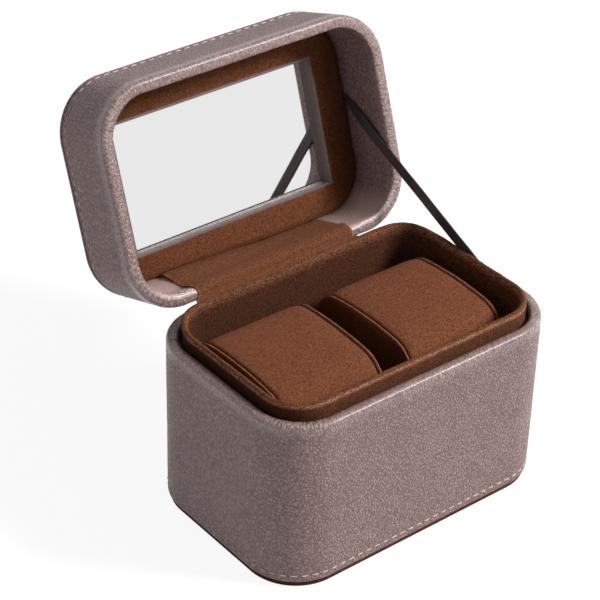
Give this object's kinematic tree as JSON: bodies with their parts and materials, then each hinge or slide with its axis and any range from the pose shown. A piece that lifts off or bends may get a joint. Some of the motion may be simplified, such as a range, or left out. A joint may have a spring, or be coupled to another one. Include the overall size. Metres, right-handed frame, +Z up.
{
  "type": "watch travel case",
  "caption": "Rounded leather travel case for watches, its mirrored lid held open by a ribbon, with suede collar and lift-out cushions.",
  "frame": {"origin": "centre of the foot pad's under face", "axes": "+X to the right seen from the front, -Y towards the front, hinge at +Y, +Z up"},
  "size_m": [0.1506, 0.1661, 0.1772],
  "materials": {
    "leather": "satin",
    "suede": "matte",
    "board": "matte",
    "foam": "matte",
    "thread": "matte",
    "ribbon": "satin",
    "mirror": "polished"
  },
  "bodies": {
    "base": {"foot_pad": "suede", "base_leather_wrap": "leather", "base_wall_board": "board", "base_floor_board": "board", "base_stitching": "thread", "collar_packing": "board", "collar_board": "board", "collar_suede": "suede", "tray_support": "board", "tray_floor_board": "board", "tray_floor_suede": "suede", "hinge_leather": "leather", "hinge_suede_strip": "suede", "ribbon_stay": "ribbon"},
    "lid": {"lid_leather_wrap": "leather", "lid_wall_board": "board", "lid_top_board": "board", "lid_top_leather": "leather", "lid_stitching": "thread", "lid_inner_lining": "leather", "lid_pad_foam": "foam", "lid_pad_suede": "suede", "mirror_reveal": "leather", "mirror_glass": "mirror"},
    "left_cushion": {"left_cushion_core": "foam", "left_cushion_cover": "suede", "left_cushion_end_panels": "suede"},
    "right_cushion": {"right_cushion_core": "foam", "right_cushion_cover": "suede", "right_cushion_end_panels": "suede"}
  },
  "joints": [
    {"name": "lid_hinge", "type": "hinge", "parent": "base", "child": "lid", "pos_m": [0, 0.04995, 0.0836], "axis": [1, 0, 0], "range_deg": [0, 108.9], "deforming": ["hinge_leather", "hinge_suede_strip", "ribbon_stay"]},
    {"name": "left_cushion_lift", "type": "slide", "parent": "base", "child": "left_cushion", "axis": [0, 0, 1], "range_m": [0, 0.026]},
    {"name": "right_cushion_lift", "type": "slide", "parent": "base", "child": "right_cushion", "axis": [0, 0, 1], "range_m": [0, 0.026]}
  ]
}
